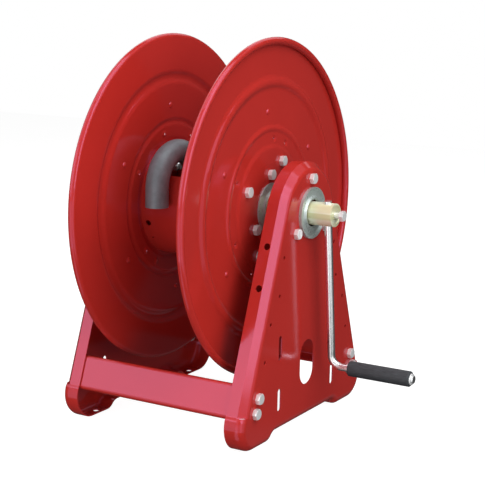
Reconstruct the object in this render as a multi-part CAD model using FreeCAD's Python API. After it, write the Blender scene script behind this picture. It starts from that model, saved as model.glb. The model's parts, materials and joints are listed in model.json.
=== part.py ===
import FreeCAD, Part
import math
import os

from FreeCAD import Vector

# Fire hose reel with a hand crank, standing on two pressed steel side frames.
# Millimetres. X runs along the axle towards the crank, Y to the rear, Z up.
# The origin lies on the floor, midway between the frames and under the axle.

# Driving dimensions of the whole reel
AXLE_HEIGHT = 356.0
DISC_RADIUS = 279.4
DISC_INNER_FACE = 94.0
WEB_FACE = 174.0
SHAFT_RADIUS = 19.05
SHAFT_WALL = 4.0
SHAFT_CRANK_END = 218.5
SHAFT_INLET_END = -226.0

# Running and assembly clearances
RUNNING_GAP = 0.05
SLIP_GAP = 0.1
SOCKET_GAP = 0.25
HOLE_GAP = 0.3
COVER_GAP = 2.85

# Side frame: a pressed pan with a flange bent in all the way round
FRAME_SHEET = 2.0
FRAME_DEPTH = 32.0
FRAME_BEVEL = 12.2
FRAME_BEND = 10.0
FOOT_TOP = 60.0
FOOT_ROUND = 12.5
FRAME_TOP_RADIUS = 93.0
FRAME_TOP_DROP = 10.5
FRAME_SLOPE = 20.1
FOOT_RADIUS = 42.0
FOOT_BULGE = 1.5
FOOT_BLEND_RADIUS = 10.0
FOOT_FLAT_END = 125.0
ARCH_HALF_WIDTH = 96.0
ARCH_HEIGHT = 12.0
BASE_HOLE_RADIUS = 5.5
BASE_HOLE_Y = 145.0
SLOT_HALF_WIDTH = 23.7
SLOT_TOP = 212.0
SLOT_BOTTOM = 288.0
SLIT_WIDTH = 10.0
SLIT_Y = 92.0
SLIT_SPANS = ((186.5, 227.0), (274.0, 311.0))
SMALL_HOLE_RADIUS = 3.25
SMALL_HOLES = ((86.3, 61.0), (97.8, 120.7), (124.5, 161.7), (141.0, 219.2))
FLANGE_HOLE_RADIUS = 5.5
FLANGE_HOLE_INSET = 18.5
FLANGE_HOLE_DROPS = (41.0, 104.0)

# Rails that tie the frames together, parallel to the sloping flanges
RAIL_SHEET = 3.0
RAIL_WIDTH = 56.6
RAIL_LEG = 22.0
RAIL_BEND = 6.0
RAIL_STATION = 312.8
RAIL_FLANGE_GAP = 0.5
RAIL_TAB_DEPTH = 46.0
RAIL_BOLT_DEPTH = 30.0
RAIL_BOLT_HALF_PITCH = 12.0

# Fasteners, seven sixteenths of an inch
BOLT_RADIUS = 5.56
BOLT_HEAD_FLATS = 15.9
BOLT_HEAD_HEIGHT = 7.1
NUT_HEIGHT = 9.5
THREAD_STICK_OUT = 2.5

# Bearings
BEARING_BOLT_CIRCLE = 56.0
BEARING_FLANGE_RADIUS = 66.0
BEARING_FLANGE_SHEET = 3.5
BEARING_OUTER_RADIUS = 38.0
BEARING_CUP_WALL = 3.5
BEARING_WIDTH = 14.0
BEARING_LIP = 2.5
BEARING_COLLAR_RADIUS = 25.0
BEARING_COLLAR_REACH = 12.0
BALL_RADIUS = 5.5
BALL_COUNT = 9
BALL_CIRCLE = 29.2
RING_LAND_GAP = 4.0
SET_SCREW_RADIUS = 3.0
COVER_RADIUS = 42.0
COVER_SHEET = 2.0
BEARING_COVER_RIM = 5.0
HUB_COVER_RIM = 2.5
COVER_HUB_RADIUS = 27.5
COVER_HUB_HEIGHT = 5.3

# Drum
DISC_SHEET = 2.0
RIM_BEAD_RADIUS = 6.2
BARREL_RADIUS = 96.0
HUB_STEP = 2.0
HUB_STEP_INNER = BARREL_RADIUS + 2.0
HUB_STEP_OUTER = HUB_STEP_INNER + 10.0
INNER_BEAD_RADIUS = BARREL_RADIUS + 35.5
INNER_BEAD_HALF_WIDTH = 7.5
INNER_BEAD_HEIGHT = 2.0
OUTER_BEAD_RADIUS = 206.5
OUTER_BEAD_HALF_WIDTH = 13.0
OUTER_BEAD_HEIGHT = 4.0
BARREL_SHEET = 2.0
BARREL_WINDOW_ANGLES = (88.0, 148.5)
BARREL_WINDOW_HALF_WIDTH = 30.0
BARREL_HOLE_RADIUS = 5.0
BARREL_HOLE_X = -83.0
BARREL_HOLE_ANGLE = -161.0
BARREL_MARK_RADIUS = 2.0
BARREL_MARK_ANGLE = -143.0
TAB_WIDTH = 30.0
TAB_REACH = 25.0
DRUM_BOLT_CIRCLE = BARREL_RADIUS - 13.0
DRUM_BOLT_ANGLE = 65.0
HUB_BOLT_ANGLE = 92.0
HUB_FLANGE_SHEET = 6.0
HUB_BOSS_RADIUS = 27.0
HUB_BOSS_LENGTH = 14.0
RIVET_CIRCLE = 159.4
RIVET_ANGLE = 34.0
RIVET_COUNT = 6
RIVET_RADIUS = 2.5
RIVET_HEAD_RADIUS = 5.0
RIVET_HEAD_HEIGHT = 2.6
DIMPLE_CIRCLE = HUB_STEP_OUTER + 7.0
DIMPLE_RADIUS = 6.0
DIMPLE_DEPTH = 1.6
DIMPLE_HOLE_RADIUS = 2.0
DIMPLE_ANGLE = 63.5
EXTRA_DIMPLE_ANGLE_RIGHT = 84.0
EXTRA_DIMPLE_ANGLE_LEFT = 104.5

# Water way
RISER_X = -49.0
RISER_RADIUS = 19.05
RISER_WALL = 3.7
RISER_BARREL_GAP = 0.5
RISER_BEND_RADIUS = (BARREL_RADIUS + RISER_BARREL_GAP + RISER_RADIUS) / 2.0
RISER_BEND_HEIGHT = 31.5
RISER_MOUTH_HEIGHT = 2.0
BOSS_RADIUS = 24.0
BOSS_TOP = 38.0
BOSS_SOCKET_FLOOR = 23.0
PLUG_X = -8.0
PLUG_LENGTH = 10.0

# Swivel inlet on the left end of the shaft
SWIVEL_RADIUS = 29.0
SWIVEL_INNER_END = -190.0
SWIVEL_OUTER_END = -266.0
SWIVEL_CHAMBER_RADIUS = 23.5
SWIVEL_CHAMBER_START = -216.0
SWIVEL_PORT_X = -240.0
SWIVEL_PORT_DROP = 66.0
SWIVEL_PORT_FLATS = 58.0
SWIVEL_PORT_HEX_HEIGHT = 30.0
SWIVEL_WATER_RADIUS = 17.5
INLET_THREAD_RADIUS = 22.0
INLET_THREAD_DEPTH = 25.0
BUSH_RADIUS = 23.0
BUSH_START = -192.5
BUSH_LENGTH = 10.0
SEAL_SECTION = 1.75
SEAL_STATIONS = (-206.5, -211.5)
CAP_LENGTH = 8.0
CAP_HEX_FLATS = 27.0
CAP_HEX_HEIGHT = 8.0
RETAINER_RADIUS = 22.0
RETAINER_GROOVE = 1.5
RETAINER_THICKNESS = 1.8
RETAINER_X = -219.0
RETAINER_GAP_ANGLE = 24.0

# Crank
CRANK_X = 205.0
CRANK_RADIUS = 260.2
CRANK_LEAN = 6.62
CRANK_ROD_RADIUS = 6.35
CRANK_BEND_RADIUS = 18.0
CRANK_TOP = 22.5
GRIP_START = 238.0
GRIP_LENGTH = 110.0
GRIP_RADIUS = 12.8
GRIP_END_ROUND = 2.5
GRIP_PLAY = 0.4
ROD_SHOULDER_RADIUS = 8.2
ROD_SHOULDER_LENGTH = 3.0
GRIP_RETAINER_RADIUS = 9.5
GRIP_RETAINER_THICKNESS = 2.0
ROD_TIP = 3.0
CLAMP_PLUG_LENGTH = 5.0
CLAMP_PLUG_RECESS = 1.0
CLAMP_BOLT_RADIUS = 4.9
CLAMP_BOLT_REACH = 9.0
CLAMP_HEAD_HEIGHT = 7.0

AXLE = Vector(0, 0, AXLE_HEIGHT)
X_AXIS = Vector(1, 0, 0)
Z_AXIS = Vector(0, 0, 1)
SLOPE = math.radians(FRAME_SLOPE)
SIDE_OUT = Vector(0, math.cos(SLOPE), math.sin(SLOPE))
SIDE_DOWN = Vector(0, math.sin(SLOPE), -math.cos(SLOPE))
SHAFT_BORE = SHAFT_RADIUS - SHAFT_WALL
WEB_INNER = WEB_FACE - FRAME_SHEET
FLANGE_EDGE = WEB_FACE - FRAME_DEPTH
FOOT_MIDDLE = (FLANGE_EDGE + WEB_FACE - FOOT_ROUND) / 2.0
INNER_BEVEL = FRAME_BEVEL - FRAME_SHEET * (2.0 - math.sqrt(2.0))
INNER_BEND = FRAME_BEND - FRAME_SHEET
WEB_FLAT_INSET = INNER_BEVEL + INNER_BEND * math.tan(math.pi / 8.0)
HUB_OUTER_FACE = DISC_INNER_FACE + HUB_STEP + DISC_SHEET
HUB_INNER_FACE = DISC_INNER_FACE + HUB_STEP


def polar(radius, degrees):
    """Point on a circle about the axle, as (y, z)."""
    angle = math.radians(degrees)
    return radius * math.cos(angle), AXLE_HEIGHT + radius * math.sin(angle)


def rod_x(radius, x0, x1, y=0.0, z=AXLE_HEIGHT):
    """Cylinder along X from x0 to x1."""
    return Part.makeCylinder(radius, x1 - x0, Vector(x0, y, z), X_AXIS)


def ring_x(outer, inner, x0, x1, y=0.0, z=AXLE_HEIGHT):
    """Tube along X from x0 to x1."""
    return rod_x(outer, x0, x1, y, z).cut(rod_x(inner, x0 - 1.0, x1 + 1.0, y, z))


def hexagon_prism(flats, length):
    """Hexagonal prism along +X from the origin."""
    corner = flats / math.sqrt(3.0)
    points = []
    for i in range(7):
        angle = math.radians(60.0 * i)
        points.append(Vector(0, corner * math.cos(angle), corner * math.sin(angle)))
    return Part.Face(Part.makePolygon(points)).extrude(Vector(length, 0, 0))


def hex_x(flats, x0, x1, y=0.0, z=AXLE_HEIGHT):
    """Hexagonal prism along X from x0 to x1."""
    prism = hexagon_prism(flats, x1 - x0)
    prism.translate(Vector(x0, y, z))
    return prism


def mirrored(shape):
    """The same shape on the other side of the reel."""
    return shape.mirror(Vector(0, 0, 0), X_AXIS)


def flipped(shape):
    """The same shape turned from front to rear."""
    return shape.mirror(Vector(0, 0, 0), Vector(0, 1, 0))


def together(shapes):
    return Part.makeCompound(shapes)


def spun(outline):
    """Turn a closed outline of (x, r) points about the axle."""
    points = [Vector(x, 0, AXLE_HEIGHT + r) for x, r in outline]
    face = Part.Face(Part.makePolygon(points + points[:1]))
    return face.revolve(AXLE, X_AXIS, 360.0)


def around(circle, first_angle, count):
    """Places evenly spaced on a circle about the axle."""
    return [polar(circle, first_angle + 360.0 * i / count) for i in range(count)]


# Fasteners

def hex_bolt(face, grip, y, z):
    """Bolt with its head on the plane x = face and its shank towards the middle."""
    head = bevelled_head(face, BOLT_HEAD_HEIGHT, y, z)
    end = face - grip - NUT_HEIGHT - THREAD_STICK_OUT
    shank = rod_x(BOLT_RADIUS, end, face, y, z)
    return head.fuse(shank)


def bevelled_head(face, height, y, z):
    """Hexagon head with its outer corners bevelled by thirty degrees."""
    top = BOLT_HEAD_FLATS * 0.475
    base = top + height / math.tan(math.radians(30.0))
    cone = Part.makeCone(base, top, height, Vector(face, y, z), X_AXIS)
    return hex_x(BOLT_HEAD_FLATS, face, face + height, y, z).common(cone)


def hex_nut(face, y, z):
    """Nut seated on the plane x = face, on the side towards the middle."""
    blank = hex_x(BOLT_HEAD_FLATS, face - NUT_HEIGHT, face, y, z)
    return blank.cut(rod_x(BOLT_RADIUS, face - NUT_HEIGHT - 1.0, face + 1.0, y, z))


def bolt_hole(x0, x1, y, z):
    return rod_x(BOLT_RADIUS + HOLE_GAP, x0, x1, y, z)


# Side frame

def pan_outline(inset):
    """Closed outline of the pan in the Y-Z plane, drawn in from the flange by inset."""
    n = SIDE_OUT
    t = SIDE_DOWN
    crown = Vector(0, 0, AXLE_HEIGHT - FRAME_TOP_DROP)
    side = FRAME_TOP_RADIUS - inset

    # The foot's round corner is tangent to the bulged side line and to the floor
    foot = FOOT_RADIUS - inset
    reach = FRAME_TOP_RADIUS + FOOT_BULGE - FOOT_RADIUS
    foot_y = (reach - (FOOT_RADIUS - crown.z) * n.z) / n.y
    foot_centre = Vector(0, foot_y, FOOT_RADIUS)
    foot_start = foot_centre + n * foot

    # The side steps out to the foot by two equal arcs
    r = FOOT_BLEND_RADIUS
    blend_length = math.sqrt(4.0 * r * FOOT_BULGE - FOOT_BULGE ** 2)
    blend_turn = math.asin(blend_length / (2.0 * r))
    along = (foot_start - crown).dot(t)
    blend_start = along - blend_length
    hollow_centre = crown + n * (FRAME_TOP_RADIUS + r) + t * blend_start
    round_centre = crown + n * (FRAME_TOP_RADIUS + FOOT_BULGE - r) + t * along
    hollow = r + inset
    rounded = r - inset
    a0 = hollow_centre - n * hollow
    a1 = hollow_centre - n * hollow * math.cos(blend_turn / 2.0) + t * hollow * math.sin(blend_turn / 2.0)
    a2 = hollow_centre - n * hollow * math.cos(blend_turn) + t * hollow * math.sin(blend_turn)
    b1 = round_centre + n * rounded * math.cos(blend_turn / 2.0) - t * rounded * math.sin(blend_turn / 2.0)

    # The foot rises to the arch by two equal arcs
    rise_length = FOOT_FLAT_END - ARCH_HALF_WIDTH
    rise = (rise_length ** 2 + ARCH_HEIGHT ** 2) / (4.0 * ARCH_HEIGHT)
    rise_turn = math.asin(rise_length / (2.0 * rise))
    toe_centre = Vector(0, FOOT_FLAT_END, rise)
    arch_centre = Vector(0, ARCH_HALF_WIDTH, ARCH_HEIGHT - rise)

    def toe_point(turn):
        radius = rise - inset
        return toe_centre + Vector(0, -radius * math.sin(turn), -radius * math.cos(turn))

    def arch_point(turn):
        radius = rise + inset
        return arch_centre + Vector(0, radius * math.sin(turn), radius * math.cos(turn))

    crown_start = crown + n * side
    crown_end = Vector(0, -crown_start.y, crown_start.z)
    foot_mid_turn = (SLOPE - math.pi / 2.0) / 2.0
    foot_mid = foot_centre + Vector(0, foot * math.cos(foot_mid_turn), foot * math.sin(foot_mid_turn))
    foot_end = foot_centre - Z_AXIS * foot
    flat_end = toe_point(0.0)

    right = [
        Part.LineSegment(crown_start, a0),
        Part.Arc(a0, a1, a2),
        Part.Arc(a2, b1, foot_start),
        Part.Arc(foot_start, foot_mid, foot_end),
        Part.LineSegment(foot_end, flat_end),
        Part.Arc(flat_end, toe_point(rise_turn / 2.0), toe_point(rise_turn)),
        Part.Arc(arch_point(rise_turn), arch_point(rise_turn / 2.0), arch_point(0.0)),
    ]
    edges = [piece.toShape() for piece in right]
    edges += [flipped(edge) for edge in edges]
    crown_top = crown + Z_AXIS * side
    edges.append(Part.Arc(crown_start, crown_top, crown_end).toShape())
    arch_y = ARCH_HALF_WIDTH
    arch_z = ARCH_HEIGHT + inset
    edges.append(Part.makeLine(Vector(0, arch_y, arch_z), Vector(0, -arch_y, arch_z)))
    return Part.Wire(Part.__sortEdges__(edges))


def edges_at(shape, x):
    """Edges that lie on the plane at x, where the shape ends."""
    return [edge for edge in shape.Edges if edge.BoundBox.XMin > x - 0.01]


def pan_block(inset, x0, x1, bevel, bend, rounding):
    """Solid of the pan's outline from x0 to x1: a bevel that bends into x1, and rounded feet."""
    face = Part.Face(pan_outline(inset))
    block = face.extrude(Vector(x1 - x0, 0, 0))
    block.translate(Vector(x0, 0, 0))
    span = 2.0 * AXLE_HEIGHT
    below = Part.makeBox(span, span, FOOT_TOP + 1.0, Vector(0, -AXLE_HEIGHT, -1.0))
    upper = block.makeChamfer(bevel, edges_at(block, x1)).cut(below)
    rim = [edge for edge in edges_at(upper, x1) if edge.BoundBox.ZMax > FOOT_TOP + 1.01]
    lower = block.makeFillet(rounding, edges_at(block, x1)).common(below)
    return upper.makeFillet(bend, rim).fuse(lower)


def slotted_hole(y0, z0, y1, z1, radius, x0, x1):
    """Hole with round ends from (y0, z0) to (y1, z1), cut along X."""
    start = Vector(x0, y0, z0)
    end = Vector(x0, y1, z1)
    along = (end - start).normalize()
    side = X_AXIS.cross(along) * radius
    wire = Part.Wire([
        Part.makeLine(start + side, end + side),
        Part.Arc(end + side, end + along * radius, end - side).toShape(),
        Part.makeLine(end - side, start - side),
        Part.Arc(start - side, start - along * radius, start + side).toShape(),
    ])
    return Part.Face(wire).extrude(Vector(x1 - x0, 0, 0))


def rail_bolt_places():
    """The two rail bolts of the rear rail, as (y, z)."""
    places = []
    for sign in (-1.0, 1.0):
        p = rail_point(RAIL_BOLT_DEPTH, sign * RAIL_BOLT_HALF_PITCH)
        places.append((p.y, p.z))
    return places


def rail_point(depth, offset, x=0.0):
    """Point behind the rear rail's face by depth and down its slope by offset."""
    face = FRAME_TOP_RADIUS - FRAME_SHEET - RAIL_FLANGE_GAP
    crown = Vector(x, 0, AXLE_HEIGHT - FRAME_TOP_DROP)
    return crown + SIDE_OUT * (face - depth) + SIDE_DOWN * (RAIL_STATION + offset)


def side_frame():
    """Right-hand side frame."""
    inner_round = FOOT_ROUND - FRAME_SHEET
    pan = pan_block(0.0, FLANGE_EDGE, WEB_FACE, FRAME_BEVEL, FRAME_BEND, FOOT_ROUND)
    hollow = pan_block(FRAME_SHEET, FLANGE_EDGE - 1.0, WEB_INNER, INNER_BEVEL, INNER_BEND, inner_round)
    pan = pan.cut(hollow).removeSplitter()
    x0 = WEB_INNER - 1.0
    x1 = WEB_FACE + 1.0

    tools = [rod_x(BEARING_OUTER_RADIUS + HOLE_GAP, x0, x1)]
    for y, z in around(BEARING_BOLT_CIRCLE, 90.0, 3):
        tools.append(bolt_hole(x0, x1, y, z))
    slot_high = AXLE_HEIGHT - SLOT_TOP - SLOT_HALF_WIDTH
    slot_low = AXLE_HEIGHT - SLOT_BOTTOM + SLOT_HALF_WIDTH
    tools.append(slotted_hole(0.0, slot_low, 0.0, slot_high, SLOT_HALF_WIDTH, x0, x1))
    for sign in (-1.0, 1.0):
        for y, drop in SMALL_HOLES:
            tools.append(rod_x(SMALL_HOLE_RADIUS, x0, x1, sign * y, AXLE_HEIGHT - drop))
        for top, bottom in SLIT_SPANS:
            half = SLIT_WIDTH / 2.0
            z_high = AXLE_HEIGHT - top - half
            z_low = AXLE_HEIGHT - bottom + half
            tools.append(slotted_hole(sign * SLIT_Y, z_low, sign * SLIT_Y, z_high, half, x0, x1))
        for y, z in rail_bolt_places():
            tools.append(bolt_hole(x0, x1, sign * y, z))
        tools.extend(flange_hole(sign, drop) for drop in FLANGE_HOLE_DROPS)
        start = Vector(FOOT_MIDDLE, sign * BASE_HOLE_Y, -1.0)
        tools.append(Part.makeCylinder(BASE_HOLE_RADIUS, FRAME_SHEET + 2.0, start))
    return pan.cut(tools)


def flange_hole(sign, drop):
    """Hole through the sloping flange, below the axle by drop."""
    crown = Vector(WEB_FACE - FLANGE_HOLE_INSET, 0, AXLE_HEIGHT - FRAME_TOP_DROP)
    on_line = crown + SIDE_OUT * FRAME_TOP_RADIUS
    point = on_line + SIDE_DOWN * ((on_line.z - AXLE_HEIGHT + drop) / math.cos(SLOPE))
    cutter = Part.makeCylinder(FLANGE_HOLE_RADIUS, 2.0 * FRAME_SHEET, point + SIDE_OUT, SIDE_OUT * -1.0)
    return flipped(cutter) if sign < 0.0 else cutter


# Rails

def rear_rail():
    """Channel rail between the frames at the rear, parallel to the flanges."""
    half = RAIL_WIDTH / 2.0
    s = RAIL_SHEET
    bend = RAIL_BEND
    rail_end = WEB_INNER - WEB_FLAT_INSET - RAIL_FLANGE_GAP
    corner = bend * (1.0 - math.sqrt(0.5))
    inner_bend = bend - s
    inner_corner = s + inner_bend * (1.0 - math.sqrt(0.5))

    def point(depth, offset):
        return rail_point(depth, offset, -rail_end)

    pieces = []
    for sign in (-1.0, 1.0):
        pieces += [
            Part.makeLine(point(0.0, 0.0), point(0.0, sign * (half - bend))),
            Part.Arc(point(0.0, sign * (half - bend)), point(corner, sign * (half - corner)),
                     point(bend, sign * half)).toShape(),
            Part.makeLine(point(bend, sign * half), point(RAIL_LEG, sign * half)),
            Part.makeLine(point(RAIL_LEG, sign * half), point(RAIL_LEG, sign * (half - s))),
            Part.makeLine(point(RAIL_LEG, sign * (half - s)), point(bend, sign * (half - s))),
            Part.Arc(point(bend, sign * (half - s)), point(inner_corner, sign * (half - inner_corner)),
                     point(s, sign * (half - bend))).toShape(),
            Part.makeLine(point(s, sign * (half - bend)), point(s, 0.0)),
        ]
    wire = Part.Wire(Part.__sortEdges__(pieces))
    channel = Part.Face(wire).extrude(Vector(2.0 * rail_end, 0, 0))
    pieces = [channel]
    for sign in (-1.0, 1.0):
        fold = WEB_INNER - rail_end
        chamfer = s * math.tan(math.radians(22.5))
        tab = [
            (sign * rail_end, 0.0),
            (sign * WEB_INNER, fold),
            (sign * WEB_INNER, RAIL_TAB_DEPTH),
            (sign * (WEB_INNER - s), RAIL_TAB_DEPTH),
            (sign * (WEB_INNER - s), fold + chamfer),
            (sign * (rail_end - chamfer), s),
            (sign * (rail_end - chamfer), 0.0),
        ]
        pieces.append(rail_prism(tab, bend - half, half - bend))
        ear = [
            (sign * WEB_INNER, fold + s),
            (sign * WEB_INNER, RAIL_TAB_DEPTH),
            (sign * (WEB_INNER - s), RAIL_TAB_DEPTH),
            (sign * (WEB_INNER - s), RAIL_LEG),
            (sign * (rail_end - 1.0), RAIL_LEG),
            (sign * (rail_end - 1.0), fold + s),
        ]
        pieces.append(rail_prism(ear, -half, s - half))
        pieces.append(rail_prism(ear, half - s, half))
        side = ear[:1] + ear[1:3] + [(sign * (WEB_INNER - s), fold + s)]
        pieces.append(rail_prism(side, -half, half))
    rail = pieces[0].fuse(pieces[1:]).removeSplitter()
    holes = []
    for y, z in rail_bolt_places():
        holes.append(bolt_hole(-WEB_INNER - 1.0, WEB_INNER + 1.0, y, z))
    return rail.cut(holes)


def rail_prism(outline, offset0, offset1):
    """Prism of an outline of (x, depth) points between two offsets down the rail's slope."""
    points = [rail_point(depth, offset0, x) for x, depth in outline]
    face = Part.Face(Part.makePolygon(points + points[:1]))
    return face.extrude(rail_point(0.0, offset1) - rail_point(0.0, offset0))


# Bearings

BEARING_SEAT = WEB_INNER - BEARING_FLANGE_SHEET - 1.0
BEARING_INNER_SIDE = BEARING_SEAT - BEARING_WIDTH
BALL_X = BEARING_SEAT - BEARING_WIDTH / 2.0


def bearing_housing():
    """Pressed flange and cup behind the web that carries the bearing."""
    cup = BEARING_OUTER_RADIUS + BEARING_CUP_WALL
    back = BEARING_INNER_SIDE - BEARING_LIP
    shape = spun([
        (WEB_INNER, BEARING_OUTER_RADIUS),
        (WEB_INNER, BEARING_FLANGE_RADIUS),
        (WEB_INNER - BEARING_FLANGE_SHEET, BEARING_FLANGE_RADIUS),
        (WEB_INNER - BEARING_FLANGE_SHEET, cup + 2.0),
        (WEB_INNER - BEARING_FLANGE_SHEET - 2.0, cup),
        (back + 2.0, cup),
        (back, cup - 2.0),
        (back, BEARING_OUTER_RADIUS - 3.0),
        (BEARING_INNER_SIDE, BEARING_OUTER_RADIUS - 3.0),
        (BEARING_INNER_SIDE, BEARING_OUTER_RADIUS),
    ])
    holes = []
    for y, z in around(BEARING_BOLT_CIRCLE, 90.0, 3):
        holes.append(bolt_hole(WEB_INNER - BEARING_FLANGE_SHEET - 1.0, WEB_INNER + 1.0, y, z))
    return shape.cut(holes)


def ball_groove(gap):
    return Part.makeTorus(BALL_CIRCLE, BALL_RADIUS + gap, Vector(BALL_X, 0, AXLE_HEIGHT), X_AXIS)


def bearing_outer_ring():
    land = BALL_CIRCLE + RING_LAND_GAP
    ring = ring_x(BEARING_OUTER_RADIUS, land, BEARING_INNER_SIDE, BEARING_SEAT)
    return ring.cut(ball_groove(0.0))


def bearing_inner_ring():
    """Inner ring with a long collar that is screwed to the shaft."""
    end = BEARING_INNER_SIDE - BEARING_COLLAR_REACH
    ring = ring_x(BEARING_COLLAR_RADIUS, SHAFT_RADIUS, end, BEARING_SEAT)
    return ring.cut([ball_groove(RUNNING_GAP)] + set_screws(0.0))


def set_screws(socket):
    """Two set screws in the collar, a right angle apart, sunk by the socket."""
    screws = []
    x = BEARING_INNER_SIDE - BEARING_COLLAR_REACH / 2.0
    for degrees in (45.0, 135.0):
        y, z = polar(1.0, degrees)
        outward = Vector(0, y, z - AXLE_HEIGHT)
        length = BEARING_COLLAR_RADIUS - SHAFT_RADIUS + 1.5 - socket
        start = Vector(x, 0, AXLE_HEIGHT) + outward * (SHAFT_RADIUS - 0.5)
        screws.append(Part.makeCylinder(SET_SCREW_RADIUS, length, start, outward))
    return screws


def bearing_set_screws():
    shaft = rod_x(SHAFT_RADIUS, 0.0, WEB_FACE)
    return [screw.cut(shaft) for screw in set_screws(1.5)]


def bearing_balls():
    balls = []
    for y, z in around(BALL_CIRCLE, 0.0, BALL_COUNT):
        balls.append(Part.makeSphere(BALL_RADIUS, Vector(BALL_X, y, z)))
    return balls


def round_cover(face, spigot_end, rim):
    """Dished round cover on the plane x = face, with a spigot through the sheet."""
    spigot = BEARING_OUTER_RADIUS
    bore = SHAFT_RADIUS + COVER_GAP
    s = COVER_SHEET
    return spun([
        (face, COVER_RADIUS),
        (face + rim, COVER_RADIUS),
        (face + rim, COVER_RADIUS - 1.2),
        (face + s, COVER_RADIUS - 6.0),
        (face + s, COVER_HUB_RADIUS + 1.5),
        (face + COVER_HUB_HEIGHT - 2.0, COVER_HUB_RADIUS),
        (face + COVER_HUB_HEIGHT, COVER_HUB_RADIUS - 2.0),
        (face + COVER_HUB_HEIGHT, bore + 2.5),
        (face + COVER_HUB_HEIGHT - 1.5, bore),
        (face + COVER_HUB_HEIGHT - 1.5 - s, bore),
        (face + COVER_HUB_HEIGHT - s, bore + 2.5),
        (face + COVER_HUB_HEIGHT - s, COVER_HUB_RADIUS - 2.8),
        (face, COVER_HUB_RADIUS - 1.0),
        (face, spigot - s),
        (spigot_end, spigot - s),
        (spigot_end, spigot),
        (face, spigot),
    ])


def bearing_cover():
    return round_cover(WEB_FACE, BEARING_SEAT, BEARING_COVER_RIM)


# Drum

def s_curve(x0, r0, x1, r1):
    """Two equal arcs from (x0, r0) to (x1, r1), flat at both ends."""
    rise = x1 - x0
    run = r1 - r0
    radius = (run ** 2 + rise ** 2) / (4.0 * abs(rise))
    sign = 1.0 if rise > 0 else -1.0
    sag = sign * (radius - math.sqrt(radius ** 2 - (run / 4.0) ** 2))
    middle = ((x0 + x1) / 2.0, (r0 + r1) / 2.0)
    return [
        ((x0, r0), (x0 + sag, r0 + run / 4.0), middle),
        (middle, (x1 - sag, r1 - run / 4.0), (x1, r1)),
    ]


def disc_line(x, bore, rim):
    """Lines and arcs of one face of the disc, from the bore out to the rim."""
    pieces = [((x + HUB_STEP, bore), (x + HUB_STEP, HUB_STEP_INNER))]
    pieces += s_curve(x + HUB_STEP, HUB_STEP_INNER, x, HUB_STEP_OUTER)
    reached = HUB_STEP_OUTER
    beads = (
        (INNER_BEAD_RADIUS, INNER_BEAD_HALF_WIDTH, INNER_BEAD_HEIGHT),
        (OUTER_BEAD_RADIUS, OUTER_BEAD_HALF_WIDTH, OUTER_BEAD_HEIGHT),
    )
    for middle, half, height in beads:
        pieces.append(((x, reached), (x, middle - half)))
        rising = s_curve(x, middle - half, x + height, middle)
        falling = s_curve(x + height, middle, x, middle + half)
        pieces.append(rising[0])
        pieces.append((rising[1][0], (x + height, middle), falling[0][2]))
        pieces.append(falling[1])
        reached = middle + half
    pieces.append(((x, reached), (x, rim)))
    return pieces


def edge_of(points):
    """Line through two (x, r) points, or arc through three, in the plane above the axle."""
    at = [Vector(x, 0, AXLE_HEIGHT + r) for x, r in points]
    if len(at) == 2:
        return Part.makeLine(at[0], at[1])
    return Part.Arc(at[0], at[1], at[2]).toShape()


def disc_dimples(places):
    """Shells and cutters of the dimples that are pressed in from the disc's outer face."""
    outer = DISC_INNER_FACE + DISC_SHEET
    ball = (DIMPLE_RADIUS ** 2 + DIMPLE_DEPTH ** 2) / (2.0 * DIMPLE_DEPTH)
    x = outer + ball - DIMPLE_DEPTH
    shells = []
    cutters = []
    for y, z in places:
        centre = Vector(x, y, z)
        shell = Part.makeSphere(ball + DISC_SHEET, centre)
        shells.append(shell.common(rod_x(3.0 * DIMPLE_RADIUS, DISC_INNER_FACE - ball, outer, y, z)))
        cutters.append(Part.makeSphere(ball, centre))
        cutters.append(rod_x(DIMPLE_HOLE_RADIUS, DISC_INNER_FACE - ball, outer, y, z))
    return shells, cutters


def drum_disc(extra_angle):
    """Right-hand disc: spun sheet with a raised hub, two beads, dimples and a rolled rim."""
    bore = BEARING_OUTER_RADIUS + HOLE_GAP
    roll_r = DISC_RADIUS - RIM_BEAD_RADIUS
    roll_x = DISC_INNER_FACE + RIM_BEAD_RADIUS
    outer_x = DISC_INNER_FACE + DISC_SHEET
    reach = math.sqrt(RIM_BEAD_RADIUS ** 2 - (roll_x - outer_x) ** 2)
    meet = (outer_x, roll_r - reach)
    inner = disc_line(DISC_INNER_FACE, bore, roll_r)
    outer = disc_line(outer_x, bore, meet[1])
    rim = [
        ((DISC_INNER_FACE, roll_r), (roll_x, DISC_RADIUS), (roll_x + RIM_BEAD_RADIUS, roll_r)),
        ((roll_x + RIM_BEAD_RADIUS, roll_r), (roll_x, roll_r - RIM_BEAD_RADIUS), meet),
    ]
    closing = [((DISC_INNER_FACE + HUB_STEP, bore), (outer_x + HUB_STEP, bore))]
    edges = [edge_of(points) for points in inner + outer + rim + closing]
    face = Part.Face(Part.Wire(Part.__sortEdges__(edges)))
    disc = face.revolve(AXLE, X_AXIS, 360.0)

    x0 = DISC_INNER_FACE - 1.0
    x1 = HUB_OUTER_FACE + 1.0
    tools = []
    for y, z in around(BEARING_BOLT_CIRCLE, HUB_BOLT_ANGLE, 3):
        tools.append(bolt_hole(x0, x1, y, z))
    for y, z in around(DRUM_BOLT_CIRCLE, DRUM_BOLT_ANGLE, 4):
        tools.append(bolt_hole(x0, x1, y, z))
    for y, z in around(RIVET_CIRCLE, RIVET_ANGLE, RIVET_COUNT):
        tools.append(rod_x(RIVET_RADIUS, x0, x1, y, z))
    places = around(DIMPLE_CIRCLE, DIMPLE_ANGLE, 4) + around(DIMPLE_CIRCLE, extra_angle, 3)
    shells, cutters = disc_dimples(places)
    return disc.fuse(shells).cut(tools + cutters).removeSplitter()


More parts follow.
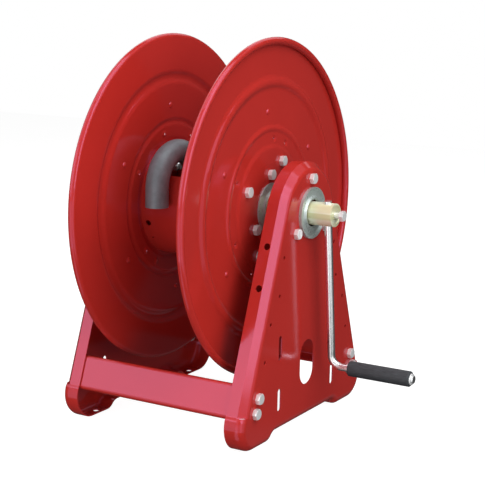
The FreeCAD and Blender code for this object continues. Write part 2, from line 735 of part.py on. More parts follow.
def disc_rivets():
    """Rivets of one disc, with a domed head on each side of the sheet."""
    inner = DISC_INNER_FACE
    outer = DISC_INNER_FACE + DISC_SHEET
    h = RIVET_HEAD_HEIGHT
    ball = (RIVET_HEAD_RADIUS ** 2 + h ** 2) / (2.0 * h)
    rivets = []
    for y, z in around(RIVET_CIRCLE, RIVET_ANGLE, RIVET_COUNT):
        head = Part.makeSphere(ball, Vector(outer + h - ball, y, z))
        head = head.common(rod_x(RIVET_HEAD_RADIUS + 1.0, outer, outer + h + 1.0, y, z))
        tail = Part.makeSphere(ball, Vector(inner - h + ball, y, z))
        tail = tail.common(rod_x(RIVET_HEAD_RADIUS + 1.0, inner - h - 1.0, inner, y, z))
        rivets.append(head.fuse([rod_x(RIVET_RADIUS, inner, outer, y, z), tail]))
    return rivets


def drum_barrel():
    """Rolled barrel with its window for the riser and lugs for the disc bolts."""
    end = HUB_INNER_FACE
    barrel = ring_x(BARREL_RADIUS, BARREL_RADIUS - BARREL_SHEET, -end, end)
    lugs = []
    for side in (-1.0, 1.0):
        x_out = side * end
        x_in = side * (end - BARREL_SHEET)
        for i in range(4):
            lugs.append(barrel_lug(DRUM_BOLT_ANGLE + 90.0 * i, min(x_in, x_out), max(x_in, x_out)))
    barrel = barrel.fuse(lugs)
    tools = [barrel_window()]
    for y, z in around(DRUM_BOLT_CIRCLE, DRUM_BOLT_ANGLE, 4):
        tools.append(bolt_hole(-end - 1.0, end + 1.0, y, z))
    holes = ((BARREL_HOLE_RADIUS, BARREL_HOLE_ANGLE), (BARREL_MARK_RADIUS, BARREL_MARK_ANGLE))
    for radius, degrees in holes:
        y, z = polar(1.0, degrees)
        outward = Vector(0, y, z - AXLE_HEIGHT)
        start = Vector(BARREL_HOLE_X, 0, AXLE_HEIGHT) + outward * (BARREL_RADIUS - 2.0 * BARREL_SHEET)
        tools.append(Part.makeCylinder(radius, 4.0 * BARREL_SHEET, start, outward))
    return barrel.cut(tools).removeSplitter()


def barrel_lug(degrees, x0, x1):
    """Lug folded in from the barrel's end, round at its tip."""
    outer = BARREL_RADIUS - BARREL_SHEET / 2.0
    tip = BARREL_RADIUS - TAB_REACH
    width = TAB_WIDTH
    block = Part.makeBox(x1 - x0, width, outer - tip, Vector(x0, -width / 2.0, AXLE_HEIGHT + tip))
    block = block.common(rod_x(outer, x0, x1))
    block.rotate(AXLE, X_AXIS, degrees - 90.0)
    return block


def barrel_window():
    """Opening in the barrel that the riser passes through."""
    first, last = BARREL_WINDOW_ANGLES
    outline = [
        (RISER_X - BARREL_WINDOW_HALF_WIDTH, BARREL_RADIUS / 2.0),
        (RISER_X + BARREL_WINDOW_HALF_WIDTH, BARREL_RADIUS / 2.0),
        (RISER_X + BARREL_WINDOW_HALF_WIDTH, BARREL_RADIUS + 5.0),
        (RISER_X - BARREL_WINDOW_HALF_WIDTH, BARREL_RADIUS + 5.0),
    ]
    points = [Vector(x, 0, AXLE_HEIGHT + r) for x, r in outline]
    face = Part.Face(Part.makePolygon(points + points[:1]))
    wedge = face.revolve(AXLE, X_AXIS, last - first)
    wedge.rotate(AXLE, X_AXIS, first - 90.0)
    return wedge


def hub_flange():
    """Welded flange and boss inside the drum that drives the disc from the shaft."""
    inner = HUB_INNER_FACE
    boss_end = inner - HUB_FLANGE_SHEET - HUB_BOSS_LENGTH
    shape = spun([
        (inner, SHAFT_RADIUS),
        (inner, BEARING_FLANGE_RADIUS),
        (inner - HUB_FLANGE_SHEET, BEARING_FLANGE_RADIUS),
        (inner - HUB_FLANGE_SHEET, HUB_BOSS_RADIUS + 3.0),
        (inner - HUB_FLANGE_SHEET - 3.0, HUB_BOSS_RADIUS),
        (boss_end, HUB_BOSS_RADIUS),
        (boss_end, SHAFT_RADIUS),
    ])
    holes = []
    for y, z in around(BEARING_BOLT_CIRCLE, HUB_BOLT_ANGLE, 3):
        holes.append(bolt_hole(inner - HUB_FLANGE_SHEET - 1.0, inner + 1.0, y, z))
    return shape.cut(holes)


def hub_cover():
    return round_cover(HUB_OUTER_FACE, HUB_INNER_FACE, HUB_COVER_RIM)


# Shaft and water way

def shaft():
    """Tube through the whole reel, with the crank's cross hole and the water port."""
    tube = ring_x(SHAFT_RADIUS, SHAFT_BORE, SHAFT_INLET_END, SHAFT_CRANK_END)
    above = crank_point(-2.0 * SHAFT_RADIUS)
    cross = Part.makeCylinder(CRANK_ROD_RADIUS + SLIP_GAP, 4.0 * SHAFT_RADIUS, above, crank_direction())
    port = Part.makeCylinder(RISER_RADIUS - RISER_WALL, 2.0 * SHAFT_RADIUS, Vector(RISER_X, 0, AXLE_HEIGHT))
    groove_radius = SHAFT_RADIUS - RETAINER_GROOVE
    x = RETAINER_X
    groove = ring_x(SHAFT_RADIUS + 1.0, groove_radius, x, x + RETAINER_THICKNESS)
    return tube.cut([cross, port, groove])


def shaft_plug():
    """Plug that keeps the water on the inlet side of the shaft."""
    return rod_x(SHAFT_BORE, PLUG_X - PLUG_LENGTH / 2.0, PLUG_X + PLUG_LENGTH / 2.0)


def riser_boss():
    """Socket on the shaft that the riser is screwed into."""
    base = Vector(RISER_X, 0, AXLE_HEIGHT)
    boss = Part.makeCylinder(BOSS_RADIUS, BOSS_TOP, base)
    socket = Part.makeCylinder(RISER_RADIUS + SOCKET_GAP, BOSS_TOP, base + Z_AXIS * BOSS_SOCKET_FLOOR)
    water = Part.makeCylinder(RISER_RADIUS - RISER_WALL, BOSS_TOP, base)
    return boss.cut([socket, water, rod_x(SHAFT_RADIUS, RISER_X - 2.0 * BOSS_RADIUS, RISER_X + 2.0 * BOSS_RADIUS)])


def outlet_riser():
    """Bent pipe that leads the water from the shaft out to the hose."""
    base = Vector(RISER_X, 0, AXLE_HEIGHT)
    bend_centre = base + Vector(0, -RISER_BEND_RADIUS, RISER_BEND_HEIGHT)
    leg = RISER_BEND_HEIGHT - BOSS_SOCKET_FLOOR
    drop = RISER_BEND_HEIGHT - RISER_MOUTH_HEIGHT
    start = base + Z_AXIS * BOSS_SOCKET_FLOOR
    mouth = base + Vector(0, -2.0 * RISER_BEND_RADIUS, RISER_MOUTH_HEIGHT)

    def solid(radius):
        disc = Part.Face(Part.Wire(Part.makeCircle(radius, base + Z_AXIS * RISER_BEND_HEIGHT)))
        bend = disc.revolve(bend_centre, X_AXIS, 180.0)
        return Part.makeCylinder(radius, leg, start).fuse([bend, Part.makeCylinder(radius, drop, mouth)])

    return solid(RISER_RADIUS).cut(solid(RISER_RADIUS - RISER_WALL))


# Swivel inlet

def swivel_body():
    """Elbow that stays with the supply pipe while the shaft turns in it."""
    barrel = rod_x(SWIVEL_RADIUS, SWIVEL_OUTER_END, SWIVEL_INNER_END)
    port_top = Vector(SWIVEL_PORT_X, 0, AXLE_HEIGHT)
    neck = Part.makeCylinder(SWIVEL_WATER_RADIUS + 7.0, SWIVEL_PORT_DROP - 2.0, port_top, Z_AXIS * -1.0)
    hexagon = hexagon_prism(SWIVEL_PORT_FLATS, SWIVEL_PORT_HEX_HEIGHT)
    hexagon.rotate(Vector(0, 0, 0), Vector(0, 1, 0), -90.0)
    hexagon.translate(port_top - Z_AXIS * SWIVEL_PORT_DROP)
    body = barrel.fuse([neck, hexagon])
    bore = SHAFT_RADIUS + RUNNING_GAP
    tools = [
        rod_x(bore + 0.35, SWIVEL_CHAMBER_START - 1.0, SWIVEL_INNER_END + 1.0),
        rod_x(SWIVEL_CHAMBER_RADIUS, SWIVEL_OUTER_END - 1.0, SWIVEL_CHAMBER_START),
        rod_x(BUSH_RADIUS, BUSH_START - BUSH_LENGTH, SWIVEL_INNER_END + 1.0),
        Part.makeCylinder(SWIVEL_WATER_RADIUS, SWIVEL_PORT_DROP + 1.0, port_top, Z_AXIS * -1.0),
        Part.makeCylinder(INLET_THREAD_RADIUS, INLET_THREAD_DEPTH, port_top - Z_AXIS * SWIVEL_PORT_DROP),
    ]
    for x in SEAL_STATIONS:
        tools.append(rod_x(bore + 2.0 * SEAL_SECTION, x - SEAL_SECTION, x + SEAL_SECTION))
    return body.cut(tools)


def swivel_bush():
    inner = SHAFT_RADIUS + RUNNING_GAP
    return ring_x(BUSH_RADIUS, inner, BUSH_START - BUSH_LENGTH, BUSH_START)


def swivel_dust_seal():
    inner = SHAFT_RADIUS + RUNNING_GAP
    return ring_x(BUSH_RADIUS, inner, BUSH_START, SWIVEL_INNER_END)


def swivel_seals():
    inner = SHAFT_RADIUS + RUNNING_GAP
    outer = inner + 2.0 * SEAL_SECTION
    return [ring_x(outer, inner, x - SEAL_SECTION, x + SEAL_SECTION) for x in SEAL_STATIONS]


def swivel_end_cap():
    """Screwed cap that closes the swivel's chamber."""
    plug = rod_x(SWIVEL_CHAMBER_RADIUS, SWIVEL_OUTER_END, SWIVEL_OUTER_END + CAP_LENGTH)
    flange = rod_x(SWIVEL_RADIUS, SWIVEL_OUTER_END - 3.0, SWIVEL_OUTER_END)
    head = hex_x(CAP_HEX_FLATS, SWIVEL_OUTER_END - 3.0 - CAP_HEX_HEIGHT, SWIVEL_OUTER_END - 3.0)
    return plug.fuse([flange, head]).removeSplitter()


def shaft_retaining_ring():
    """Open ring in the shaft's groove that keeps the swivel on."""
    inner = SHAFT_RADIUS - RETAINER_GROOVE
    x = RETAINER_X
    ring = ring_x(RETAINER_RADIUS, inner, x, x + RETAINER_THICKNESS)
    width = 2.0 * RETAINER_RADIUS * math.sin(math.radians(RETAINER_GAP_ANGLE / 2.0))
    gap = Part.makeBox(RETAINER_THICKNESS + 2.0, width, 2.0 * RETAINER_RADIUS,
                       Vector(x - 1.0, -width / 2.0, AXLE_HEIGHT))
    return ring.cut(gap)


# Crank

def crank_direction():
    lean = math.radians(CRANK_LEAN)
    return Vector(0, math.sin(lean), -math.cos(lean))


def crank_point(distance, x=CRANK_X):
    """Point at a distance from the axle along the crank arm."""
    return Vector(x, 0, AXLE_HEIGHT) + crank_direction() * distance


def crank_rod():
    """Round rod through the shaft, bent to a handle along the axle."""
    r = CRANK_ROD_RADIUS
    bend = CRANK_BEND_RADIUS
    arm = Part.makeCylinder(r, CRANK_RADIUS - bend + CRANK_TOP, crank_point(-CRANK_TOP), crank_direction())
    centre = crank_point(CRANK_RADIUS - bend, CRANK_X + bend)
    section = Part.makeCircle(r, crank_point(CRANK_RADIUS - bend), crank_direction())
    elbow = Part.Face(Part.Wire(section)).revolve(centre, crank_direction().cross(X_AXIS), 90.0)
    handle_end = GRIP_START + GRIP_LENGTH + GRIP_PLAY + GRIP_RETAINER_THICKNESS + ROD_TIP
    handle_start = crank_point(CRANK_RADIUS, CRANK_X + bend)
    handle = Part.makeCylinder(r, handle_end - handle_start.x, handle_start, X_AXIS)
    shoulder_x = GRIP_START - GRIP_PLAY - ROD_SHOULDER_LENGTH
    shoulder = Part.makeCylinder(ROD_SHOULDER_RADIUS, ROD_SHOULDER_LENGTH,
                                 crank_point(CRANK_RADIUS, shoulder_x), X_AXIS)
    return arm.fuse([elbow, handle, shoulder])


def crank_grip():
    """Sleeve that turns on the crank's handle."""
    start = crank_point(CRANK_RADIUS, GRIP_START)
    sleeve = Part.makeCylinder(GRIP_RADIUS, GRIP_LENGTH, start, X_AXIS)
    ends = [edge for edge in sleeve.Edges if edge.Closed]
    sleeve = sleeve.makeFillet(GRIP_END_ROUND, ends)
    return sleeve.cut(Part.makeCylinder(CRANK_ROD_RADIUS + RUNNING_GAP, GRIP_LENGTH, start, X_AXIS))


def grip_retainer():
    """Push-on ring at the end of the handle."""
    start = crank_point(CRANK_RADIUS, GRIP_START + GRIP_LENGTH + GRIP_PLAY)
    ring = Part.makeCylinder(GRIP_RETAINER_RADIUS, GRIP_RETAINER_THICKNESS, start, X_AXIS)
    return ring.cut(Part.makeCylinder(CRANK_ROD_RADIUS, GRIP_RETAINER_THICKNESS, start, X_AXIS))


def crank_clamp_plug():
    end = SHAFT_CRANK_END - CLAMP_PLUG_RECESS
    return ring_x(SHAFT_BORE, CLAMP_BOLT_RADIUS, end - CLAMP_PLUG_LENGTH, end)


def crank_clamp_bolt():
    """Bolt along the axle whose tip holds the crank rod."""
    tip = CRANK_X + CRANK_ROD_RADIUS
    head_x = SHAFT_CRANK_END + CLAMP_BOLT_REACH
    shank = rod_x(CLAMP_BOLT_RADIUS, tip, head_x)
    return shank.fuse(bevelled_head(head_x, CLAMP_HEAD_HEIGHT, 0.0, AXLE_HEIGHT))


# Groups of fasteners

def rail_bolts_and_nuts():
    bolts = []
    nuts = []
    for y, z in rail_bolt_places():
        for turn in (1.0, -1.0):
            bolt = hex_bolt(WEB_FACE, FRAME_SHEET + RAIL_SHEET, turn * y, z)
            nut = hex_nut(WEB_INNER - RAIL_SHEET, turn * y, z)
            bolts += [bolt, mirrored(bolt)]
            nuts += [nut, mirrored(nut)]
    return bolts, nuts


def circle_bolts_and_nuts(face, grip, circle, first_angle, count):
    """Bolts and nuts on a circle about the axle, on both sides of the reel."""
    bolts = []
    nuts = []
    for y, z in around(circle, first_angle, count):
        bolt = hex_bolt(face, grip, y, z)
        nut = hex_nut(face - grip, y, z)
        bolts += [bolt, mirrored(bolt)]
        nuts += [nut, mirrored(nut)]
    return bolts, nuts


def build():
    """Every piece of the reel, by name."""
    parts = {}
    pairs = {
        "side_frame": side_frame(),
        "bearing_housing": bearing_housing(),
        "bearing_outer_ring": bearing_outer_ring(),
        "bearing_inner_ring": bearing_inner_ring(),
        "bearing_cover": bearing_cover(),
        "hub_flange": hub_flange(),
        "hub_cover": hub_cover(),
    }
    for name, shape in pairs.items():
        parts[name + "_right"] = shape
        parts[name + "_left"] = mirrored(shape)
    groups = {
        "bearing_balls": bearing_balls(),
        "bearing_set_screws": bearing_set_screws(),
        "disc_rivets": disc_rivets(),
    }
    for name, shapes in groups.items():
        parts[name + "_right"] = together(shapes)
        parts[name + "_left"] = together([mirrored(shape) for shape in shapes])

    parts["drum_disc_right"] = drum_disc(EXTRA_DIMPLE_ANGLE_RIGHT)
    parts["drum_disc_left"] = mirrored(drum_disc(EXTRA_DIMPLE_ANGLE_LEFT))
    rail = rear_rail()
    parts["rear_rail"] = rail
    parts["front_rail"] = flipped(rail)
    bolts, nuts = rail_bolts_and_nuts()
    parts["rail_bolts"] = together(bolts)
    parts["rail_nuts"] = together(nuts)
    grip = FRAME_SHEET + BEARING_FLANGE_SHEET
    bolts, nuts = circle_bolts_and_nuts(WEB_FACE, grip, BEARING_BOLT_CIRCLE, 90.0, 3)
    parts["bearing_bolts"] = together(bolts)
    parts["bearing_nuts"] = together(nuts)
    grip = DISC_SHEET + HUB_FLANGE_SHEET
    bolts, nuts = circle_bolts_and_nuts(HUB_OUTER_FACE, grip, BEARING_BOLT_CIRCLE, HUB_BOLT_ANGLE, 3)
    parts["hub_bolts"] = together(bolts)
    parts["hub_nuts"] = together(nuts)
    grip = DISC_SHEET + BARREL_SHEET
    bolts, nuts = circle_bolts_and_nuts(HUB_OUTER_FACE, grip, DRUM_BOLT_CIRCLE, DRUM_BOLT_ANGLE, 4)
    parts["drum_bolts"] = together(bolts)
    parts["drum_nuts"] = together(nuts)

    parts["drum_barrel"] = drum_barrel()
    parts["shaft"] = shaft()
    parts["shaft_plug"] = shaft_plug()
    parts["riser_boss"] = riser_boss()
    parts["outlet_riser"] = outlet_riser()
    parts["shaft_retaining_ring"] = shaft_retaining_ring()
    parts["crank_rod"] = crank_rod()
    parts["crank_clamp_plug"] = crank_clamp_plug()
    parts["crank_clamp_bolt"] = crank_clamp_bolt()
    parts["grip_retainer"] = grip_retainer()
    parts["crank_grip"] = crank_grip()
    parts["swivel_body"] = swivel_body()
    parts["swivel_bush"] = swivel_bush()
    parts["swivel_dust_seal"] = swivel_dust_seal()
    parts["swivel_seals"] = together(swivel_seals())
    parts["swivel_end_cap"] = swivel_end_cap()
    return parts


os.makedirs("parts", exist_ok=True)
for part_name, part_shape in build().items():
    part_shape.exportStep("parts/" + part_name + ".step")
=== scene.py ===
import json
import math

import bpy
import bmesh
from mathutils import Matrix, Vector


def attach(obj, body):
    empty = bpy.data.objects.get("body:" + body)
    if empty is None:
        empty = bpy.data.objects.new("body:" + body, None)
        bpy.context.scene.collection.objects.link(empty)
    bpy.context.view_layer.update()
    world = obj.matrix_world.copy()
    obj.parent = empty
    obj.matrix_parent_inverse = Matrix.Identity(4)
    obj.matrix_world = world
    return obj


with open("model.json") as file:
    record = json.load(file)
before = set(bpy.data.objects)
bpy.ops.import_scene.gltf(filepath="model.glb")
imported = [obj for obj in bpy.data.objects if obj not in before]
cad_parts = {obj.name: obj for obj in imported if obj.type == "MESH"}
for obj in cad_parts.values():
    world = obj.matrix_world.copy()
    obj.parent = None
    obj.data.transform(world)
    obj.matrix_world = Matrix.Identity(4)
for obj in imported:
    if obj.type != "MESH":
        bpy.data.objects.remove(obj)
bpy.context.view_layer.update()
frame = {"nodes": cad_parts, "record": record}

scene = bpy.context.scene

# Lengths are in metres and places are the CAD model's: X runs along the axle towards the
# crank, Y from the front to the back, and Z up. Angles are in degrees.
AXLE_Z = 0.356

# The threads that the CAD model leaves plain. A ridge starts inside its rod or wall.
THREAD_PITCH = 0.0018
THREAD_STEPS = 20
BOLT_RADIUS = 0.00556
BOLT_CREST = BOLT_RADIUS + 0.00012
BOLT_ROOT = BOLT_RADIUS - 0.0005
CLAMP_THREAD_START = (0.2186, 0, AXLE_Z)
CLAMP_THREAD_LENGTH = 0.0088
CLAMP_CREST = 0.00502
CLAMP_ROOT = 0.0045
PIPE_PITCH = 0.0022
RISER_THREAD_START = (-0.049, -0.11555, 0.3582)
RISER_THREAD_LENGTH = 0.022
RISER_CREST = 0.01485
RISER_ROOT = 0.0156
RISER_STEPS = 48
INLET_THREAD_START = (-0.240, 0, 0.2903)
INLET_THREAD_LENGTH = 0.0245
INLET_CREST = 0.0214
INLET_ROOT = 0.0223
INLET_STEPS = 60

FLOOR_HALF = 4.0
FLOOR_HEIGHT = -0.0004

LIGHT_MIDDLE = Vector((0.0, 0.0, 0.33))
LIGHT_DISTANCE = 2.6

CAMERA_PLACE = (1.14219, -1.85791, 0.70298)
CAMERA_AZIMUTH = 30.54
CAMERA_ELEVATION = 10.78
CAMERA_ROLL = 1.08
CAMERA_LENS = 97.11
CAMERA_SENSOR = 36.0
CAMERA_CLIP = 0.05


# Materials

class Shader:
    """A Principled material with small helpers for its procedural inputs."""

    def __init__(self, name, **constants):
        self.material = bpy.data.materials.new(name)
        self.material.use_nodes = True
        self.tree = self.material.node_tree
        self.nodes = self.tree.nodes
        self.shader = self.nodes["Principled BSDF"]
        for socket, value in constants.items():
            self.shader.inputs[socket.replace("_", " ")].default_value = value
        self.place = self.nodes.new("ShaderNodeTexCoord").outputs["Object"]
        self.bump = None

    def link(self, source, target):
        self.tree.links.new(source, target)

    def stretched(self, scale):
        """Object coordinates stretched along the axes."""
        mapping = self.nodes.new("ShaderNodeMapping")
        mapping.inputs["Scale"].default_value = scale
        self.link(self.place, mapping.inputs["Vector"])
        return mapping.outputs["Vector"]

    def noise(self, scale, detail=3.0, rough=0.55, place=None):
        """Cloudy noise, its scale in features per metre."""
        node = self.nodes.new("ShaderNodeTexNoise")
        node.inputs["Scale"].default_value = scale
        node.inputs["Detail"].default_value = detail
        node.inputs["Roughness"].default_value = rough
        self.link(place or self.place, node.inputs["Vector"])
        return node.outputs["Fac"]

    def cells(self, scale):
        """The distance to the middle of each cell of a honeycomb."""
        node = self.nodes.new("ShaderNodeTexVoronoi")
        node.inputs["Scale"].default_value = scale
        self.link(self.place, node.inputs["Vector"])
        return node.outputs["Distance"]

    def remap(self, value, low, high, to_low, to_high):
        """Stretches the span from low to high to another span, clamped."""
        node = self.nodes.new("ShaderNodeMapRange")
        node.inputs["From Min"].default_value = low
        node.inputs["From Max"].default_value = high
        node.inputs["To Min"].default_value = to_low
        node.inputs["To Max"].default_value = to_high
        self.link(value, node.inputs["Value"])
        return node.outputs["Result"]

    def ramp(self, value, *stops):
        """Colours by value, each stop as (position, colour)."""
        node = self.nodes.new("ShaderNodeValToRGB")
        elements = node.color_ramp.elements
        while len(elements) < len(stops):
            elements.new(0.5)
        for element, (position, colour) in zip(elements, stops):
            element.position = position
            element.color = (*colour, 1.0)
        self.link(value, node.inputs["Fac"])
        return node.outputs["Color"]

    def blend(self, value, base, colour):
        """The base where the value is 0, and the plain colour where it is 1."""
        node = self.nodes.new("ShaderNodeMix")
        node.data_type = "RGBA"
        factor, first, second = node.inputs[0], node.inputs[6], node.inputs[7]
        self.link(value, factor)
        self.link(base, first)
        second.default_value = (*colour, 1.0)
        return node.outputs[2]

    def colour(self, source):
        self.link(source, self.shader.inputs["Base Color"])

    def roughness(self, source, low, high):
        """Roughness from low to high, following the middle of a noise."""
        self.link(self.remap(source, 0.3, 0.7, low, high), self.shader.inputs["Roughness"])

    def relief(self, height, distance):
        """Adds one layer of bump, its height in metres."""
        node = self.nodes.new("ShaderNodeBump")
        node.inputs["Distance"].default_value = distance
        node.inputs["Strength"].default_value = 1.0
        self.link(height, node.inputs["Height"])
        if self.bump:
            self.link(self.bump, node.inputs["Normal"])
        self.bump = node.outputs["Normal"]
        self.link(self.bump, self.shader.inputs["Normal"])


def red_paint():
    """Glossy red powder coat: deep colour, a fine grain and gentle waves of pressed sheet."""
    s = Shader("red_powder_coat_look", IOR=1.4, Specular_IOR_Level=1.0,
               Specular_Tint=(1.0, 0.52, 0.93, 1.0))
    broad = s.noise(5.0)
    fine = s.noise(900.0, 2.0)
    base = s.ramp(broad, (0.30, (0.48, 0.0265, 0.0200)), (0.70, (0.53, 0.0300, 0.0225)))
    s.colour(s.blend(s.remap(fine, 0.35, 0.65, 0.0, 0.12), base, (0.41, 0.021, 0.016)))
    s.roughness(s.noise(60.0, 4.0), 0.10, 0.14)
    s.relief(s.noise(11.0, 1.0), 0.00022)
    return s.material


def zinc(name, light, dark, rough, metallic, stain, swell):
    """Bright zinc plate on steel: a mottled grey with faint stains and a softly uneven face."""
    s = Shader(name, Metallic=metallic)
    mottled = s.noise(160.0, 1.5, 0.5)
    base = s.ramp(mottled, (0.30, dark), (0.72, light))
    stains = s.remap(s.noise(48.0, 5.0, 0.65), 0.55, 0.80, 0.0, stain)
    s.colour(s.blend(stains, base, tuple(0.60 * c for c in dark)))
    s.roughness(s.noise(260.0), *rough)
    if swell:
        s.relief(s.noise(190.0, 1.0), swell)
    return s.material


def yellow_zinc():
    """Yellow passivated zinc: pale gold with cream and olive bands along the shaft, partly the
    zinc's own tone and partly painted reflection bands.
    """
    s = Shader("yellow_zinc_look", Metallic=0.3)
    # Colour that changes with height along the shaft: painted highlight and shade bands
    # standing in for reflections, mixed with the zinc's own tone.
    tone_and_reflection_bands = s.noise(1.0, 1.0, 0.4, s.stretched((1.0, 0.0, 80.0)))
    s.colour(s.ramp(tone_and_reflection_bands, (0.34, (0.72, 0.72, 0.42)), (0.47, (0.94, 0.96, 0.74)),
                    (0.57, (0.84, 0.81, 0.52)), (0.68, (0.68, 0.62, 0.38))))
    s.roughness(s.noise(60.0, 2.0), 0.30, 0.36)
    turned = s.noise(1.0, 2.0, place=s.stretched((2600.0, 30.0, 30.0)))
    s.relief(turned, 0.000004)
    return s.material


def black_pipe():
    """Mill-finished pipe: matte blue-grey scale with soft pits."""
    s = Shader("black_pipe_look", Metallic=0.25, Specular_IOR_Level=0.5)
    patches = s.noise(55.0, 5.0, 0.6)
    base = s.ramp(patches, (0.30, (0.155, 0.178, 0.200)), (0.70, (0.222, 0.248, 0.275)))
    specks = s.remap(s.noise(900.0, 2.0), 0.60, 0.80, 0.0, 0.30)
    s.colour(s.blend(specks, base, (0.26, 0.27, 0.29)))
    s.roughness(s.noise(90.0, 4.0), 0.38, 0.56)
    s.relief(s.noise(500.0, 4.0), 0.00006)
    return s.material


def grip_rubber():
    """Dark sleeve with a drawn grain along its length."""
    s = Shader("grip_rubber_look", Specular_IOR_Level=0.45)
    grain = s.noise(1.0, 4.0, 0.6, s.stretched((90.0, 900.0, 900.0)))
    s.colour(s.ramp(grain, (0.30, (0.022, 0.025, 0.029)), (0.75, (0.064, 0.072, 0.081))))
    s.roughness(grain, 0.42, 0.70)
    s.relief(grain, 0.00025)
    s.relief(s.cells(1400.0), 0.00005)
    return s.material


def plain_metal(name, light, dark, rough, scale, depth):
    """Metal with a mottled colour and a matching fine relief."""
    s = Shader(name, Metallic=1.0)
    patches = s.noise(scale, 5.0, 0.6)
    s.colour(s.ramp(patches, (0.30, dark), (0.70, light)))
    s.roughness(s.noise(scale * 1.7), rough * 0.8, rough * 1.25)
    s.relief(s.noise(scale * 3.0, 4.0), depth)
    return s.material


def seal_rubber():
    """Black rubber of the swivel's seals, cloudy and dull."""
    s = Shader("seal_rubber_look", Specular_IOR_Level=0.4)
    patches = s.noise(220.0, 4.0)
    s.colour(s.ramp(patches, (0.30, (0.010, 0.010, 0.011)), (0.70, (0.026, 0.026, 0.028))))
    s.roughness(patches, 0.45, 0.65)
    s.relief(s.noise(900.0, 2.0), 0.00003)
    return s.material


# Looks by material slot. The last two kinds of zinc dress single nodes.
LOOKS = {
    "red_powder_coat": red_paint(),
    "zinc_plate": zinc("zinc_plate_look", (0.99, 0.99, 1.0), (0.93, 0.94, 0.95),
                       (0.10, 0.18), 0.38, 0.05, 0.00024),
    "zinc_rod": zinc("zinc_rod_look", (0.96, 0.97, 0.98), (0.90, 0.92, 0.93),
                     (0.27, 0.29), 1.0, 0.02, 0.0),
    "zinc_cover": zinc("zinc_cover_look", (0.56, 0.63, 0.61), (0.49, 0.56, 0.54),
                       (0.26, 0.34), 0.5, 0.0, 0.0),
    "yellow_zinc": yellow_zinc(),
    "black_pipe": black_pipe(),
    "grip_rubber": grip_rubber(),
    "bearing_steel": plain_metal("bearing_steel_look", (0.66, 0.67, 0.69), (0.55, 0.56, 0.58),
                                 0.14, 120.0, 0.000004),
    "cast_brass": plain_metal("cast_brass_look", (0.68, 0.50, 0.24), (0.46, 0.32, 0.14),
                              0.38, 90.0, 0.00008),
    "bronze_bush": plain_metal("bronze_bush_look", (0.60, 0.42, 0.25), (0.46, 0.30, 0.17),
                               0.26, 180.0, 0.00001),
    "seal_rubber": seal_rubber(),
}

NODE_LOOKS = {
    "bearing_cover_right": "zinc_cover",
    "bearing_cover_left": "zinc_cover",
    "hub_cover_right": "zinc_cover",
    "hub_cover_left": "zinc_cover",
    "crank_rod": "zinc_rod",
}

for row in frame["record"]["subparts"]:
    look = NODE_LOOKS.get(row["node"], row["material_slot"])
    materials = frame["nodes"][row["node"]].data.materials
    materials.clear()
    materials.append(LOOKS[look])


# Threads

def solids_of(node):
    """The boxes of a node's separate solids, each as (lowest corner, highest corner)."""
    mesh = frame["nodes"][node].data
    merged = {}
    owner = []
    for vertex in mesh.vertices:
        key = tuple(round(c * 1e5) for c in vertex.co)
        owner.append(merged.setdefault(key, len(merged)))
    root = list(range(len(merged)))

    def find(i):
        while root[i] != i:
            root[i] = root[root[i]]
            i = root[i]
        return i

    for edge in mesh.edges:
        a, b = find(owner[edge.vertices[0]]), find(owner[edge.vertices[1]])
        if a != b:
            root[a] = b
    boxes = {}
    for vertex in mesh.vertices:
        corners = (vertex.co.copy(), vertex.co.copy())
        low, high = boxes.setdefault(find(owner[vertex.index]), corners)
        for k in range(3):
            low[k] = min(low[k], vertex.co[k])
            high[k] = max(high[k], vertex.co[k])
    return sorted(boxes.values(), key=lambda box: tuple(round(c, 4) for c in box[0]))


def new_piece(name, bm, slot, body):
    """Turns a bmesh into a smooth-shaded piece that rides on a body."""
    bmesh.ops.recalc_face_normals(bm, faces=bm.faces)
    mesh = bpy.data.meshes.new(name)
    bm.to_mesh(mesh)
    bm.free()
    for polygon in mesh.polygons:
        polygon.use_smooth = True
    piece = bpy.data.objects.new(name, mesh)
    scene.collection.objects.link(piece)
    mesh.materials.append(LOOKS[slot])
    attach(piece, body)


def axis_turn(axis):
    """The turn that lays the X axis along another axis."""
    return Vector((1, 0, 0)).rotation_difference(Vector(axis)).to_matrix().to_4x4()


def add_thread(bm, start, axis, length, crest, root, pitch=THREAD_PITCH, steps=THREAD_STEPS):
    """A closed V-shaped ridge on a helix, from start along the axis, faded in and out."""
    turn = Matrix.Translation(Vector(start)) @ axis_turn(axis)
    count = max(2, int(steps * (length - pitch) / pitch))
    rings = []
    for i in range(count + 1):
        angle = 2.0 * math.pi * i / steps
        x = pitch / 2.0 + pitch * i / steps
        fade = min(1.0, i / steps * 2.0, (count - i) / steps * 2.0)
        top = root + (crest - root) * fade
        ring = []
        for dx, r in ((-0.5, root), (0.0, top), (0.5, root)):
            at = Vector((x + dx * pitch, r * math.cos(angle), r * math.sin(angle)))
            ring.append(bm.verts.new(turn @ at))
        rings.append(ring)
    for a, b in zip(rings, rings[1:]):
        for k in range(3):
            bm.faces.new((a[k], a[(k + 1) % 3], b[(k + 1) % 3], b[k]))
    bm.faces.new(rings[0])
    bm.faces.new(rings[-1])


def one_thread(name, slot, body, *measures):
    """A piece with a single thread on it."""
    bm = bmesh.new()
    add_thread(bm, *measures)
    new_piece(name, bm, slot, body)


def middle_of(box):
    return (box[0] + box[1]) / 2.0


